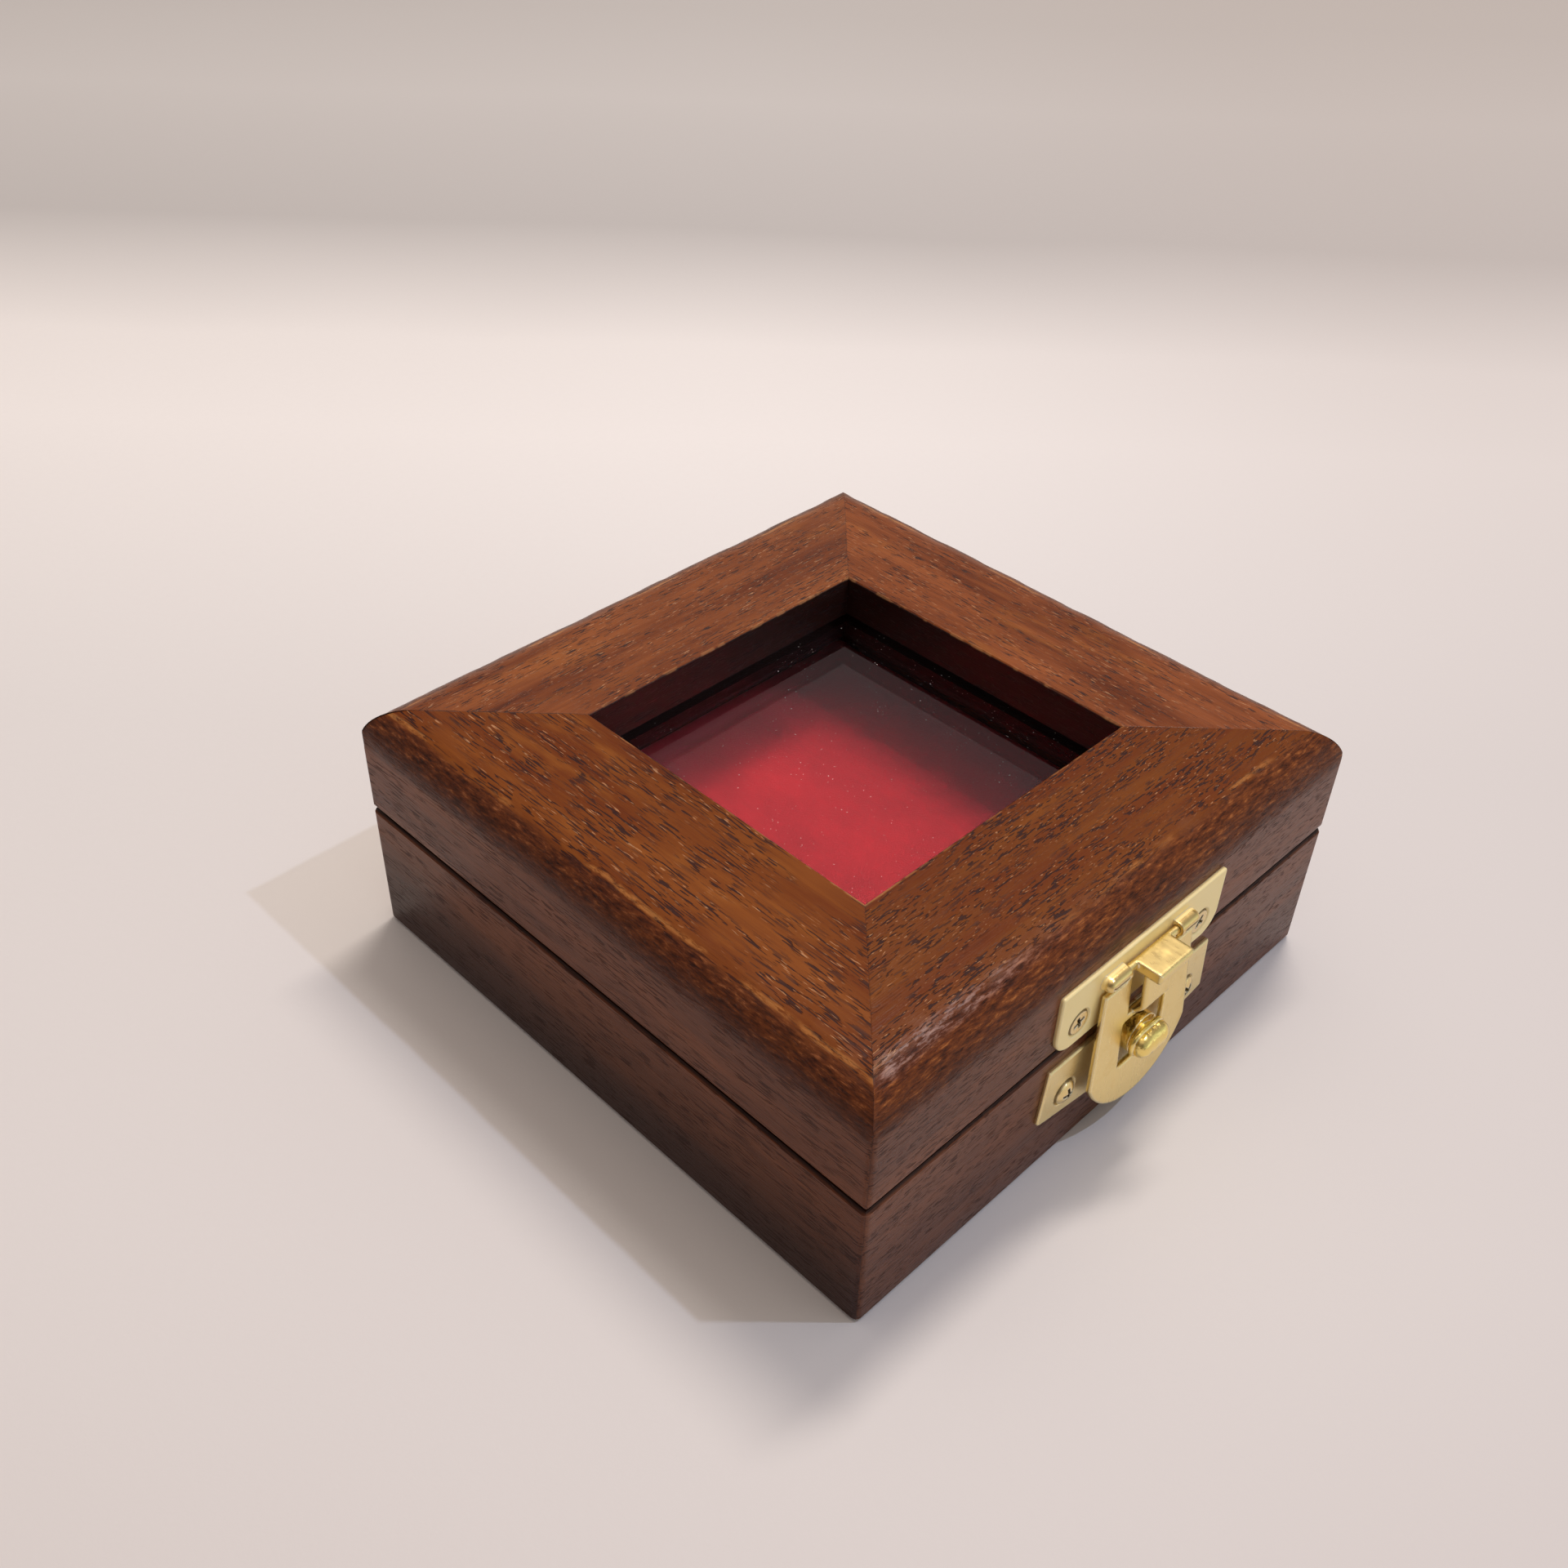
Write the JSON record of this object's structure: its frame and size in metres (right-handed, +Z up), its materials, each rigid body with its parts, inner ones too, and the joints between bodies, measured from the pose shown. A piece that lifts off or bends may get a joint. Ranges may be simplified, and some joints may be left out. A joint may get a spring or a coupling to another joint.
{
  "type": "display box",
  "caption": "Small square dark hardwood display box with a hinged glass-topped lid, brass hasp and turn knob, and a velvet pad for one coin or medal",
  "frame": {"origin": "Centre of the box's underside, on the surface that it stands on.", "axes": "+Z up; -Y towards the latch side, +Y towards the hinges; +X to the right when looking at the latch."},
  "size_m": [0.08, 0.0869, 0.0324],
  "materials": {
    "dark_hardwood": "satin varnish",
    "bead_wood": "satin varnish",
    "floor_board": "sanded",
    "pad_board": "raw board",
    "red_velvet": "velvet",
    "clear_glass": "polished",
    "plate_brass": "lacquered sheet",
    "hasp_brass": "lacquered sheet",
    "knob_brass": "polished",
    "screw_brass": "polished",
    "hinge_brass": "lacquered sheet"
  },
  "bodies": {
    "base": {"base_wall_back": "dark_hardwood", "base_wall_front": "dark_hardwood", "base_wall_left": "dark_hardwood", "base_wall_right": "dark_hardwood", "floor_panel": "floor_board", "hinge_base_leaf_left": "hinge_brass", "hinge_base_leaf_right": "hinge_brass", "hinge_base_screws": "screw_brass", "hinge_pin_left": "hinge_brass", "hinge_pin_right": "hinge_brass", "latch_plate_lower": "plate_brass", "lower_plate_screws": "screw_brass", "pad_board": "pad_board", "velvet_pad": "red_velvet"},
    "lid": {"glass_pane": "clear_glass", "glazing_bead_back": "bead_wood", "glazing_bead_front": "bead_wood", "glazing_bead_left": "bead_wood", "glazing_bead_right": "bead_wood", "hinge_lid_leaf_left": "hinge_brass", "hinge_lid_leaf_right": "hinge_brass", "hinge_lid_screws": "screw_brass", "latch_plate_upper": "plate_brass", "lid_rail_back": "dark_hardwood", "lid_rail_front": "dark_hardwood", "lid_rail_left": "dark_hardwood", "lid_rail_right": "dark_hardwood", "upper_plate_screws": "screw_brass"},
    "hasp": {"hasp": "hasp_brass"},
    "turn_knob": {"turn_knob": "knob_brass"}
  },
  "joints": [
    {"name": "lid_hinge", "type": "hinge", "parent": "base", "child": "lid", "pos_m": [0, 0.04135, 0.01792], "axis": [-1, 0, 0], "range_deg": [0, 180]},
    {"name": "hasp_swing", "type": "hinge", "parent": "lid", "child": "hasp", "pos_m": [0.0016, -0.0411, 0.0246], "axis": [-1, 0, 0], "range_deg": [0, 90]},
    {"name": "knob_turn", "type": "hinge", "parent": "base", "child": "turn_knob", "pos_m": [0.0016, -0.0405, 0.0128], "axis": [0, -1, 0], "range_deg": [0, 90]}
  ]
}
